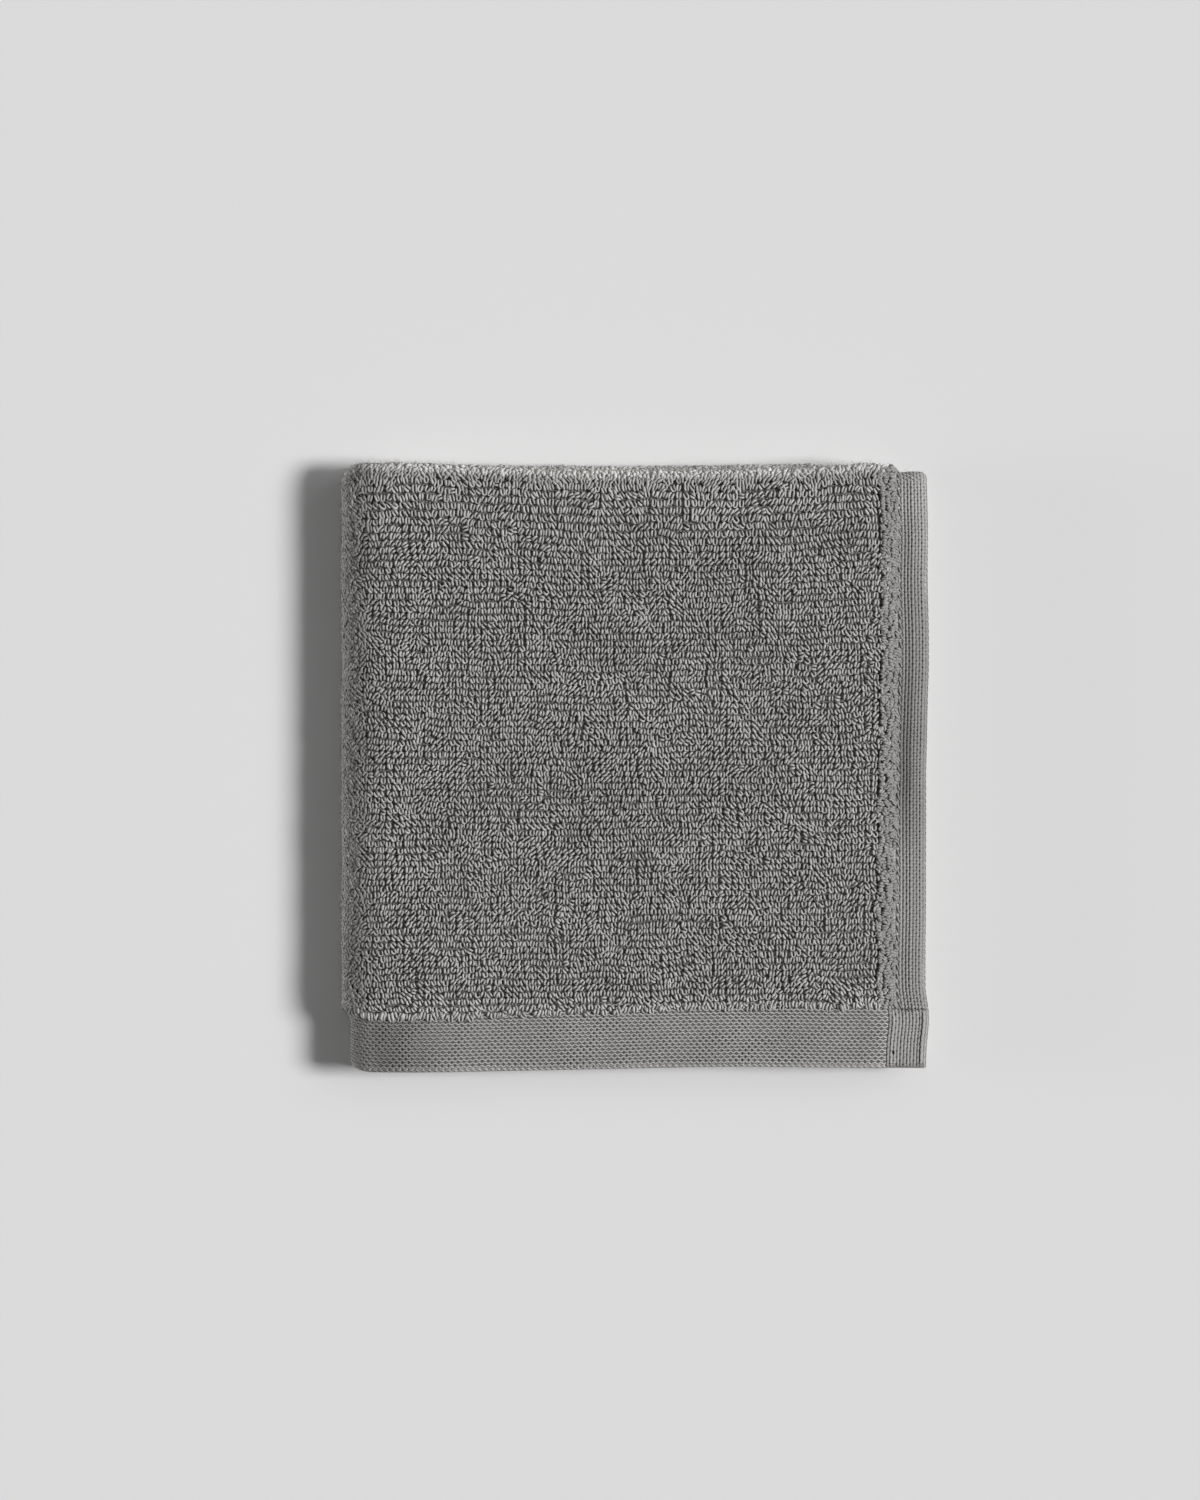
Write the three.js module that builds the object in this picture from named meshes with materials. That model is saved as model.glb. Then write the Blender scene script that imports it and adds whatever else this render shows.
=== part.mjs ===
import * as THREE from 'three';

// A cotton terry washcloth, folded in half at its far edge and in half again at its left edge, so
// that it lies as four leaves. Millimetres, +Z up, +X to the side hems, +Y to the far fold. The
// origin is on the resting surface, under the middle of the folded outline.

// Folded outline, seen from above, out to the tips of the pile
const LEFT_FOLD_X = -80.3;
const RIGHT_EDGE_X = 79.8;
const NEAR_EDGE_Y = -81.9;
const FAR_FOLD_Y = 83.2;

// A fold stands less far out than half its height, because its own weight presses it down
const LEFT_FOLD_FULLNESS = 0.85;
const FAR_FOLD_FULLNESS = 1.0;

// The plan corner between the two folds is round
const CORNER_RADIUS = 7.4;

// Steps of the mesh round a fold, and over the pile between a fold and a hem
const FOLD_STEPS = 8;
const PILE_STEPS = 9;

// Section of the cloth inward from a side hem. The ground is turned under twice, has its crown at
// 4 mm and is drawn in by the stitching at 7.7 mm. pitch is the height from leaf to leaf there.
const SIDE_HEM = [
  { fromEdge: 0.4, thickness: 1.0, pitch: 2.66 },
  { fromEdge: 1.3, thickness: 1.8, pitch: 2.67 },
  { fromEdge: 4.0, thickness: 2.2, pitch: 2.7 },
  { fromEdge: 7.7, thickness: 1.2, pitch: 2.8 },
  { fromEdge: 9.2, thickness: 1.5, pitch: 2.95 },
  { fromEdge: 10.4, thickness: 2.3, pitch: 3.2 },
  { fromEdge: 12.4, thickness: 3.15, pitch: 3.55 },
  { fromEdge: 15.0, thickness: 3.43, pitch: 3.78 },
  { fromEdge: 18.0, thickness: 3.5, pitch: 3.85 },
];

// Section inward from a woven end border, a turned hem as wide as the border. The border is stiff,
// so its leaves stay as far apart as the pile beside it holds them.
const END_BORDER = [
  { fromEdge: 0.4, thickness: 1.0 },
  { fromEdge: 1.4, thickness: 1.9 },
  { fromEdge: 5.0, thickness: 2.1 },
  { fromEdge: 12.0, thickness: 2.0 },
  { fromEdge: 14.6, thickness: 2.1 },
  { fromEdge: 16.4, thickness: 2.9 },
  { fromEdge: 18.6, thickness: 3.38 },
  { fromEdge: 21.5, thickness: 3.5 },
];

// The border has shrunk more than the pile, which draws the left fold in where it ends
const BORDER_SHRINK = { width: 2.0, full: 12, none: 18 };

// Where a side hem is turned over an end border, more layers of ground lie on each other
const CORNER_PIECE = { thickness: 2.3, side: 11, end: 16, blend: 1.6 };

// Waves of the outline: how far it runs out past its straight line
const RIGHT_EDGE_WAVE = [
  { y: -82, out: -0.4 },
  { y: -75, out: -0.1 },
  { y: -68, out: 0.5 },
  { y: -59, out: -0.5 },
  { y: -40, out: -0.35 },
  { y: 0, out: -0.3 },
  { y: 18, out: 0.1 },
  { y: 35, out: 0.45 },
  { y: 52, out: 0 },
  { y: 65, out: 0.2 },
  { y: 82, out: -0.2 },
];
const NEAR_EDGE_WAVE = [
  { x: -80.3, out: -1.6 },
  { x: -77.5, out: 0.3 },
  { x: -72, out: 1.25 },
  { x: -56, out: 1.3 },
  { x: -32, out: 0.85 },
  { x: 0, out: 0.2 },
  { x: 26, out: -0.3 },
  { x: 54, out: 0 },
  { x: 80, out: 0.3 },
];

// The far edge has two folds, one on the other. The upper one lies back in the middle.
const FAR_FOLD_WAVE = [
  { x: -80, upper: 0, lower: -0.5 },
  { x: -60, upper: -0.1, lower: -0.5 },
  { x: -42, upper: -0.9, lower: -0.5 },
  { x: -22, upper: -1.7, lower: -0.6 },
  { x: 0, upper: -2.0, lower: -0.65 },
  { x: 26, upper: -1.7, lower: -0.4 },
  { x: 46, upper: -1.2, lower: -0.1 },
  { x: 57, upper: -0.6, lower: -0.5 },
  { x: 63, upper: 0, lower: -0.4 },
  { x: 68, upper: -0.3, lower: -0.6 },
  { x: 70.6, upper: 0.1, lower: -0.5 },
  { x: 72.1, upper: -1.0, lower: -1.3 },
  { x: 80, upper: -1.05, lower: -1.3 },
];

// How far the hems of each leaf stop short of the outline
const LEAVES = {
  top: { side: 0, end: 0 },
  second: { side: 0.9, end: 1.1 },
  third: { side: 1.4, end: 0.5 },
  bottom: { side: 0.6, end: 1.3 },
};

// The top leaf has a soft ridge beside the left fold, and falls toward the far fold
const LEFT_RIDGE = [
  { fromLeft: 0, rise: -0.9 },
  { fromLeft: 3, rise: -0.8 },
  { fromLeft: 6, rise: -0.45 },
  { fromLeft: 9, rise: -0.1 },
  { fromLeft: 12, rise: 0.12 },
  { fromLeft: 17, rise: 0.25 },
  { fromLeft: 23, rise: 0.12 },
  { fromLeft: 28, rise: 0 },
];
const FAR_FALL = [
  { fromFar: 0, rise: -0.9 },
  { fromFar: 4, rise: -0.6 },
  { fromFar: 8, rise: -0.25 },
  { fromFar: 12, rise: -0.08 },
  { fromFar: 16, rise: 0 },
];

// Broad hollows and swells in the pile of the top leaf
const HOLLOWS = [
  { x: -34, y: -40, radius: 22, rise: -0.3 },
  { x: 56, y: -48, radius: 22, rise: -0.25 },
  { x: 30, y: 18, radius: 30, rise: -0.2 },
  { x: -30, y: 45, radius: 34, rise: 0.15 },
];

const CLOTH_COLOUR = 0x70706e;

// Smooth curve through the rows of a table, read at one place along its key column
function through(rows, key, column, at) {
  const last = rows.length - 1;
  const place = THREE.MathUtils.clamp(at, rows[0][key], rows[last][key]);
  let low = 0;
  while (low < last - 1 && rows[low + 1][key] < place) low += 1;
  const slope = (row) => {
    const before = rows[Math.max(row - 1, 0)];
    const after = rows[Math.min(row + 1, last)];
    return (after[column] - before[column]) / (after[key] - before[key]);
  };
  const span = rows[low + 1][key] - rows[low][key];
  const f = (place - rows[low][key]) / span;
  const from = rows[low][column] * (1 + 2 * f) * (1 - f) ** 2;
  const to = rows[low + 1][column] * (3 - 2 * f) * f ** 2;
  const bend = slope(low) * f * (1 - f) ** 2 - slope(low + 1) * f ** 2 * (1 - f);
  return from + to + bend * span;
}

// Mesh lines across the cloth in one direction, from hem to fold to hem. turn is the angle round
// the fold, from -90 degrees on the lower half to 90 on the upper, and fromEdge is measured from
// the nearer hem.
function meshLines(hem, foldFromEdge) {
  const flat = hem.map((row) => row.fromEdge);
  const pileStart = flat[flat.length - 1];
  for (let step = 1; step < PILE_STEPS; step += 1) {
    flat.push(pileStart + (foldFromEdge - pileStart) * step / PILE_STEPS);
  }
  const lower = flat.map((fromEdge) => ({ fromEdge, turn: -Math.PI / 2 }));
  const fold = Array.from({ length: FOLD_STEPS + 1 }, (_, step) => ({
    fromEdge: foldFromEdge,
    turn: (step / FOLD_STEPS - 0.5) * Math.PI,
  }));
  const upper = flat.map((fromEdge) => ({ fromEdge, turn: Math.PI / 2 })).reverse();
  return [...lower, ...fold, ...upper];
}

// Share of a leaf's own value at this turn round both folds, blended through the folds
function byLeaf(key, acrossTurn, alongTurn) {
  const above = (1 + Math.sin(acrossTurn)) / 2;
  const facing = (1 + Math.sin(alongTurn)) / 2;
  const upper = THREE.MathUtils.lerp(LEAVES.second[key], LEAVES.top[key], facing);
  const lower = THREE.MathUtils.lerp(LEAVES.third[key], LEAVES.bottom[key], facing);
  return THREE.MathUtils.lerp(lower, upper, above);
}

// The corner piece's share, which fades in from the cloth's rim and out again at its own reach
function cornerShare(fromEdge, reach) {
  const { smoothstep } = THREE.MathUtils;
  const { blend } = CORNER_PIECE;
  const rim = SIDE_HEM[0].fromEdge;
  return smoothstep(fromEdge, rim, rim + blend) - smoothstep(fromEdge, reach - blend, reach);
}

function thicknessAt(fromSide, fromEnd) {
  const side = through(SIDE_HEM, 'fromEdge', 'thickness', fromSide);
  const end = through(END_BORDER, 'fromEdge', 'thickness', fromEnd);
  const corner = cornerShare(fromSide, CORNER_PIECE.side) * cornerShare(fromEnd, CORNER_PIECE.end);
  return THREE.MathUtils.lerp(Math.min(side, end), CORNER_PIECE.thickness, corner);
}

// Height from leaf to leaf
function pitchAt(fromSide) {
  return through(SIDE_HEM, 'fromEdge', 'pitch', fromSide);
}

// How far the top face stands above its level, less where the leaf is thin at its hems
function riseAt(x, y, thickness) {
  let rise = through(LEFT_RIDGE, 'fromLeft', 'rise', x - LEFT_FOLD_X);
  rise += through(FAR_FALL, 'fromFar', 'rise', FAR_FOLD_Y - y);
  for (const hollow of HOLLOWS) {
    const far = Math.hypot(x - hollow.x, y - hollow.y) / hollow.radius;
    rise += hollow.rise * (1 - THREE.MathUtils.smoothstep(far, 0, 1));
  }
  return rise * thickness / PILE.thickness;
}

// Height of a fold's centre line and half a leaf, as far out as the pile reaches
const PILE = SIDE_HEM[SIDE_HEM.length - 1];
const LEFT_FOLD_CENTRE_X = LEFT_FOLD_X + LEFT_FOLD_FULLNESS * (1.5 * PILE.pitch + PILE.thickness / 2);
const FAR_FOLD_CENTRE_Y = FAR_FOLD_Y - FAR_FOLD_FULLNESS * (PILE.pitch + PILE.thickness) / 2;
const SIDE_SPAN = RIGHT_EDGE_X - LEFT_FOLD_CENTRE_X;
const END_SPAN = FAR_FOLD_CENTRE_Y - NEAR_EDGE_Y;

// How far the far fold is drawn in near the left fold, which rounds the corner between them
function cornerPull(x) {
  const fromLeft = x - LEFT_FOLD_X;
  return CORNER_RADIUS / 2 * Math.max(0, 1 - fromLeft / CORNER_RADIUS) ** 2;
}

// A point of the folded cloth. across and along are mesh lines, and face is 1 on the side of the
// cloth that is outside once it is folded, and -1 on the side that is folded in.
function place(across, along, face) {
  const fromSide = across.fromEdge;
  const fromEnd = along.fromEdge;
  const thickness = thicknessAt(fromSide, fromEnd);
  const sideInset = byLeaf('side', across.turn, along.turn);
  const endInset = byLeaf('end', across.turn, along.turn);
  const sideShare = 1 - fromSide / SIDE_SPAN;
  const endShare = 1 - fromEnd / END_SPAN;
  const pitch = pitchAt(fromSide + sideInset * sideShare);

  const reach = pitch / 2 + face * thickness / 2;
  const height = reach * Math.sin(along.turn);
  const radius = pitch + height;
  const flatY = NEAR_EDGE_Y + fromEnd;
  const edgeX = through(RIGHT_EDGE_WAVE, 'y', 'out', flatY) - sideInset;
  const inBorder = 1 - THREE.MathUtils.smoothstep(fromEnd, BORDER_SHRINK.full, BORDER_SHRINK.none);
  const shrunk = BORDER_SHRINK.width * inBorder * (1 - sideShare);
  const flatX = RIGHT_EDGE_X - fromSide + edgeX * sideShare + shrunk;
  const x = flatX - LEFT_FOLD_FULLNESS * radius * Math.cos(across.turn);

  const upper = through(FAR_FOLD_WAVE, 'x', 'upper', x);
  const lower = through(FAR_FOLD_WAVE, 'x', 'lower', x);
  const foldY = THREE.MathUtils.lerp(lower, upper, (1 + Math.sin(across.turn)) / 2) - cornerPull(x);
  const edgeY = through(NEAR_EDGE_WAVE, 'x', 'out', x) - endInset;
  const y = NEAR_EDGE_Y + fromEnd - edgeY * endShare + foldY * (1 - endShare)
    + FAR_FOLD_FULLNESS * reach * Math.cos(along.turn);

  const middle = 1.5 * pitch + thickness / 2;
  const onTop = Math.max(0, Math.sin(across.turn)) * Math.max(0, Math.sin(along.turn)) * Math.max(0, face);
  const z = Math.max(0, middle + radius * Math.sin(across.turn) + riseAt(x, y, thickness) * onTop);
  return new THREE.Vector3(x, y, z);
}

// The cloth as one closed body: its outer and inner face, and a rounded rim round all four edges
function foldedCloth() {
  const acrossLines = meshLines(SIDE_HEM, SIDE_SPAN);
  const alongLines = meshLines(END_BORDER, END_SPAN);
  const columns = acrossLines.length;
  const rows = alongLines.length;
  const points = [];
  for (const face of [1, -1]) {
    for (const along of alongLines) {
      for (const across of acrossLines) points.push(place(across, along, face));
    }
  }
  const outer = (column, row) => row * columns + column;
  const inner = (column, row) => rows * columns + outer(column, row);

  const faces = [];
  const quad = (a, b, c, d) => faces.push(a, b, c, a, c, d);
  for (let row = 0; row < rows - 1; row += 1) {
    for (let column = 0; column < columns - 1; column += 1) {
      quad(outer(column, row), outer(column, row + 1), outer(column + 1, row + 1), outer(column + 1, row));
      quad(inner(column, row), inner(column + 1, row), inner(column + 1, row + 1), inner(column, row + 1));
    }
  }

  const rim = [];
  for (let column = 0; column < columns - 1; column += 1) rim.push([column, 0]);
  for (let row = 0; row < rows - 1; row += 1) rim.push([columns - 1, row]);
  for (let column = columns - 1; column > 0; column -= 1) rim.push([column, rows - 1]);
  for (let row = rows - 1; row > 0; row -= 1) rim.push([0, row]);
  const firstRimPoint = points.length;
  for (const [column, row] of rim) {
    const atSide = column === 0 || column === columns - 1;
    const atEnd = row === 0 || row === rows - 1;
    const outward = new THREE.Vector3(atSide ? SIDE_HEM[0].fromEdge : 0, atEnd ? -END_BORDER[0].fromEdge : 0, 0);
    const middle = points[outer(column, row)].clone().lerp(points[inner(column, row)], 0.5);
    points.push(middle.add(outward));
  }
  rim.forEach(([column, row], index) => {
    const next = (index + 1) % rim.length;
    const [nextColumn, nextRow] = rim[next];
    const tip = firstRimPoint + index;
    const nextTip = firstRimPoint + next;
    quad(outer(column, row), outer(nextColumn, nextRow), nextTip, tip);
    quad(tip, nextTip, inner(nextColumn, nextRow), inner(column, row));
  });

  const geometry = new THREE.BufferGeometry().setFromPoints(points);
  geometry.setIndex(faces);
  geometry.computeVertexNormals();
  return geometry;
}

const terry = new THREE.MeshStandardMaterial({ color: CLOTH_COLOUR, roughness: 0.95, metalness: 0 });
const washcloth = new THREE.Mesh(foldedCloth(), terry);
washcloth.name = 'washcloth';

const part = new THREE.Group();
part.add(washcloth);

export default part;
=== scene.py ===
import math

import bpy
import numpy as np
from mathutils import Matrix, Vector


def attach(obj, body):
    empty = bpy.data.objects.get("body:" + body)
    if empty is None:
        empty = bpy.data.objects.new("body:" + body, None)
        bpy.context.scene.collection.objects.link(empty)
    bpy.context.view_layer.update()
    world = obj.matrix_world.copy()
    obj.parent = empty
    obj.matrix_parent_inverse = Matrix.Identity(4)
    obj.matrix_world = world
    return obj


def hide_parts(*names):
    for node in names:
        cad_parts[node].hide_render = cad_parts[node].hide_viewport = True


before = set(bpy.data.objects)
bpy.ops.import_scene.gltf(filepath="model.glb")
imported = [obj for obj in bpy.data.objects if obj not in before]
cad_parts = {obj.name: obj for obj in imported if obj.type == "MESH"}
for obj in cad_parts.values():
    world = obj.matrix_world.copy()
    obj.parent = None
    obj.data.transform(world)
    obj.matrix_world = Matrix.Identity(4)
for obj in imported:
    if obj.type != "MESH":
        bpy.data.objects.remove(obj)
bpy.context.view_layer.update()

# The view: straight down on the folded cloth, from far enough away that its sides hardly show.
# The cloth lies a little right of and below the middle of the picture.
MM = 0.001
PICTURE_HEIGHT_PX = 1500
PICTURE_CENTRE_PX = (600, 750)
CLOTH_CENTRE_PX = (635.5, 767.5)
MM_PER_PX = 0.2735
CAMERA_HEIGHT_MM = 2000
OUTLINE_HEIGHT_MM = 8
FILM_MM = 36

camera_data = bpy.data.cameras.new("camera")
camera_data.sensor_fit = "VERTICAL"
camera_data.sensor_height = FILM_MM
camera_data.lens = FILM_MM * (CAMERA_HEIGHT_MM - OUTLINE_HEIGHT_MM) / (PICTURE_HEIGHT_PX * MM_PER_PX)
camera_data.clip_end = 20
camera = bpy.data.objects.new("camera", camera_data)
camera.location = (
    (PICTURE_CENTRE_PX[0] - CLOTH_CENTRE_PX[0]) * MM_PER_PX * MM,
    (CLOTH_CENTRE_PX[1] - PICTURE_CENTRE_PX[1]) * MM_PER_PX * MM,
    CAMERA_HEIGHT_MM * MM,
)
bpy.context.collection.objects.link(camera)
bpy.context.scene.camera = camera
bpy.context.scene.view_settings.view_transform = "Standard"

# The studio: a plain pale floor and a main lamp on the right, whose shadow lies along the left
# fold. A second lamp beside it, a weak one beyond the far fold and a low card on the left soften it.
FLOOR_SIDE_M = 6
FLOOR_SHADE = 0.8
SURROUND = 0.09
LAMPS = {
    "name": ["main_lamp", "second_lamp", "far_lamp", "card"],
    "strength": [3.4, 0.35, 0.122, 0.95],
    "spread_degrees": [16, 30, 60, 16],
    "azimuth_degrees": [0, 25, 80, 180],
    "elevation_degrees": [37.7, 37, 55, 6],
}


def lamp(name, strength, spread, azimuth, elevation):
    data = bpy.data.lights.new(name, "SUN")
    data.energy = strength
    data.angle = math.radians(spread)
    turn, lift = math.radians(azimuth), math.radians(elevation)
    comes_from = Vector((math.cos(turn) * math.cos(lift), math.sin(turn) * math.cos(lift), math.sin(lift)))
    obj = bpy.data.objects.new(name, data)
    obj.rotation_euler = comes_from.to_track_quat("Z", "Y").to_euler()
    bpy.context.collection.objects.link(obj)


for row in zip(*LAMPS.values()):
    lamp(*row)
surround = bpy.data.worlds.new("surround")
surround.use_nodes = True
surround.node_tree.nodes["Background"].inputs["Color"].default_value = (1.0, 1.0, 1.0, 1.0)
surround.node_tree.nodes["Background"].inputs["Strength"].default_value = SURROUND
bpy.context.scene.world = surround

floor_material = bpy.data.materials.new("floor_paper")
floor_material.use_nodes = True
floor_shader = floor_material.node_tree.nodes["Principled BSDF"]
floor_shader.inputs["Base Color"].default_value = (FLOOR_SHADE, FLOOR_SHADE, FLOOR_SHADE, 1)
floor_shader.inputs["Roughness"].default_value = 1.0
floor_shader.inputs["Specular IOR Level"].default_value = 0.0
half = FLOOR_SIDE_M / 2
floor_mesh = bpy.data.meshes.new("floor")
floor_mesh.from_pydata(
    [(-half, -half, 0), (half, -half, 0), (half, half, 0), (-half, half, 0)], [], [(0, 1, 2, 3)]
)
floor = bpy.data.objects.new("floor", floor_mesh)
floor_mesh.materials.append(floor_material)
bpy.context.collection.objects.link(floor)

# The cloth: one piece of cotton terry, folded in half at its far edge and in half again at its
# left edge. Its ground runs through all four leaves, and its edges are turned under as hems.
LEFT_FOLD_X = -80.3
RIGHT_EDGE_X = 79.8
NEAR_EDGE_Y = -81.9
FAR_FOLD_Y = 83.2
LEFT_FOLD_FULLNESS = 0.85
FAR_FOLD_FULLNESS = 1.0
CORNER_RADIUS = 7.4
SIDE_HEM = {
    "from_edge": [0.4, 1.3, 4.0, 7.7, 9.2, 10.4, 12.4, 15.0, 18.0],
    "thickness": [1.0, 1.8, 2.2, 1.2, 1.5, 2.3, 3.15, 3.43, 3.5],
    "pitch": [2.66, 2.67, 2.7, 2.8, 2.95, 3.2, 3.55, 3.78, 3.85],
}
END_BORDER = {
    "from_edge": [0.4, 1.4, 5.0, 12.0, 14.6, 16.4, 18.6, 21.5],
    "thickness": [1.0, 1.9, 2.1, 2.0, 2.1, 2.9, 3.38, 3.5],
}
BORDER_SHRINK = {"width": 2.0, "full": 12, "none": 18}
CORNER_PIECE = {"thickness": 2.3, "side": 11.0, "end": 16.0, "blend": 1.6}
RIGHT_EDGE_WAVE = {
    "y": [-82, -75, -68, -59, -40, 0, 18, 35, 52, 65, 82],
    "out": [-0.4, -0.1, 0.5, -0.5, -0.35, -0.3, 0.1, 0.45, 0, 0.2, -0.2],
}
NEAR_EDGE_WAVE = {
    "x": [-80.3, -77.5, -72, -56, -32, 0, 26, 54, 80],
    "out": [-1.6, 0.3, 1.25, 1.3, 0.85, 0.2, -0.3, 0, 0.3],
}
FAR_FOLD_WAVE = {
    "x": [-80, -60, -42, -22, 0, 26, 46, 57, 63, 68, 70.6, 72.1, 80],
    "upper": [0, -0.1, -0.9, -1.7, -2.0, -1.7, -1.2, -0.6, 0, -0.3, 0.1, -1.0, -1.05],
    "lower": [-0.5, -0.5, -0.5, -0.6, -0.65, -0.4, -0.1, -0.5, -0.4, -0.6, -0.5, -1.3, -1.3],
}
LEAF_INSET = {
    "side": {"top": 0.0, "second": 0.9, "third": 1.4, "bottom": 0.6},
    "end": {"top": 0.0, "second": 1.1, "third": 0.5, "bottom": 1.3},
}
LEFT_RIDGE = {
    "from_left": [0, 3, 6, 9, 12, 17, 23, 28],
    "rise": [-0.9, -0.8, -0.45, -0.1, 0.12, 0.25, 0.12, 0],
}
FAR_FALL = {"from_far": [0, 4, 8, 12, 16], "rise": [-0.9, -0.6, -0.25, -0.08, 0]}
HOLLOWS = {
    "x": [-34, 56, 30, -30],
    "y": [-40, -48, 18, 45],
    "radius": [22, 22, 30, 34],
    "rise": [-0.3, -0.25, -0.2, 0.15],
}
PILE_HEIGHT = 1.35
PILE_STARTS = {"side": 10.2, "end": 14.8, "blend": 3.0}
GROUND_FOLD_STEPS = 20
GROUND_PILE_STEPS = 12
GROUND_HEM_STEPS = 3
RIM_OUT = 0.4
RIM_BARE_TO = 1.2
TOP_LEAF_TURN = 1
GROUND_SHADE = (0.4, 0.392, 0.378)
# Painted shade in the ground: darker under the pile than where bare, darkest under the hem and border
# threads, where it shows only in the gaps.
GROUND_PAINTED_SHADE = {"bare": 1.19, "under_hem": 0.72, "under_border": 0.5}

PILE_PITCH = SIDE_HEM["pitch"][-1]
PILE_THICKNESS = SIDE_HEM["thickness"][-1]
LEFT_CENTRE_X = LEFT_FOLD_X + LEFT_FOLD_FULLNESS * (1.5 * PILE_PITCH + PILE_THICKNESS / 2)
FAR_CENTRE_Y = FAR_FOLD_Y - FAR_FOLD_FULLNESS * (PILE_PITCH + PILE_THICKNESS) / 2
SIDE_SPAN = RIGHT_EDGE_X - LEFT_CENTRE_X
END_SPAN = FAR_CENTRE_Y - NEAR_EDGE_Y


def ramp(at, start, end):
    """Smooth step from 0 at start to 1 at end."""
    share = np.clip((at - start) / (end - start), 0, 1)
    return share * share * (3 - 2 * share)


def through(table, key, column, at):
    """Smooth curve through the rows of a table, read at places along its key column."""
    places = np.array(table[key], float)
    values = np.array(table[column], float)
    before = np.maximum(np.arange(len(places)) - 1, 0)
    after = np.minimum(np.arange(len(places)) + 1, len(places) - 1)
    slopes = (values[after] - values[before]) / (places[after] - places[before])
    at = np.clip(at, places[0], places[-1])
    low = np.clip(np.searchsorted(places, at) - 1, 0, len(places) - 2)
    span = places[low + 1] - places[low]
    f = (at - places[low]) / span
    start = values[low] * (1 + 2 * f) * (1 - f) ** 2
    end = values[low + 1] * (3 - 2 * f) * f**2
    return start + end + span * (slopes[low] * f * (1 - f) ** 2 - slopes[low + 1] * f**2 * (1 - f))


def corner_share(from_edge, reach):
    """The corner piece's share, which fades in from the cloth's rim and out at its own reach."""
    rim, blend = SIDE_HEM["from_edge"][0], CORNER_PIECE["blend"]
    return ramp(from_edge, rim, rim + blend) - ramp(from_edge, reach - blend, reach)


def thickness_at(from_side, from_end):
    side = through(SIDE_HEM, "from_edge", "thickness", from_side)
    end = through(END_BORDER, "from_edge", "thickness", from_end)
    corner = corner_share(from_side, CORNER_PIECE["side"]) * corner_share(from_end, CORNER_PIECE["end"])
    return np.minimum(side, end) * (1 - corner) + CORNER_PIECE["thickness"] * corner


def pitch_at(from_side):
    """Height from leaf to leaf."""
    return through(SIDE_HEM, "from_edge", "pitch", from_side)


def inset_at(edge, side_turn, end_turn):
    """How far a leaf's hem stops short of the outline, blended through the folds."""
    above = (1 + np.sin(side_turn)) / 2
    facing = (1 + np.sin(end_turn)) / 2
    leaf = LEAF_INSET[edge]
    upper = leaf["second"] * (1 - facing) + leaf["top"] * facing
    lower = leaf["third"] * (1 - facing) + leaf["bottom"] * facing
    return lower * (1 - above) + upper * above


def rise_at(x, y, thickness):
    """How far the top face stands above its level, less where the leaf is thin at its hems."""
    rise = through(LEFT_RIDGE, "from_left", "rise", x - LEFT_FOLD_X)
    rise += through(FAR_FALL, "from_far", "rise", FAR_FOLD_Y - y)
    for row in range(len(HOLLOWS["x"])):
        far = np.hypot(x - HOLLOWS["x"][row], y - HOLLOWS["y"][row]) / HOLLOWS["radius"][row]
        rise += HOLLOWS["rise"][row] * (1 - ramp(far, 0, 1))
    return rise * thickness / PILE_THICKNESS


def pile_share(from_side, from_end):
    side = ramp(from_side, PILE_STARTS["side"], PILE_STARTS["side"] + PILE_STARTS["blend"])
    end = ramp(from_end, PILE_STARTS["end"], PILE_STARTS["end"] + PILE_STARTS["blend"])
    return side * end


def corner_pull(x):
    """How far the far fold is drawn in near the left fold, which rounds the corner between them."""
    return CORNER_RADIUS / 2 * np.maximum(0, 1 - (x - LEFT_FOLD_X) / CORNER_RADIUS) ** 2


def folded(from_side, side_turn, from_end, end_turn, face, sunk=0.0):
    """Points of the folded cloth in millimetres. A turn is the angle round a fold, from -90 degrees
    on the lower half to 90 on the upper, and face is 1 outside and -1 on the side folded in."""
    thickness = thickness_at(from_side, from_end)
    side_inset = inset_at("side", side_turn, end_turn)
    end_inset = inset_at("end", side_turn, end_turn)
    side_share = 1 - from_side / SIDE_SPAN
    end_share = 1 - from_end / END_SPAN
    pitch = pitch_at(from_side + side_inset * side_share)
    reach = pitch / 2 + face * (thickness / 2 - sunk)
    radius = pitch + reach * np.sin(end_turn)
    edge_x = through(RIGHT_EDGE_WAVE, "y", "out", NEAR_EDGE_Y + from_end) - side_inset
    in_border = 1 - ramp(from_end, BORDER_SHRINK["full"], BORDER_SHRINK["none"])
    shrunk = BORDER_SHRINK["width"] * in_border * (1 - side_share)
    flat_x = RIGHT_EDGE_X - from_side + edge_x * side_share + shrunk
    x = flat_x - LEFT_FOLD_FULLNESS * radius * np.cos(side_turn)
    upper = through(FAR_FOLD_WAVE, "x", "upper", x)
    lower = through(FAR_FOLD_WAVE, "x", "lower", x)
    above = (1 + np.sin(side_turn)) / 2
    fold_y = lower * (1 - above) + upper * above - corner_pull(x)
    edge_y = through(NEAR_EDGE_WAVE, "x", "out", x) - end_inset
    y = NEAR_EDGE_Y + from_end - edge_y * end_share + fold_y * (1 - end_share)
    y = y + FAR_FOLD_FULLNESS * reach * np.cos(end_turn)
    on_top = np.maximum(0, np.sin(side_turn)) * np.maximum(0, np.sin(end_turn)) * max(0, face)
    z = 1.5 * pitch + thickness / 2 + radius * np.sin(side_turn) + rise_at(x, y, thickness) * on_top
    return np.stack([x, y, np.maximum(z, 0)], axis=-1)


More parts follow.
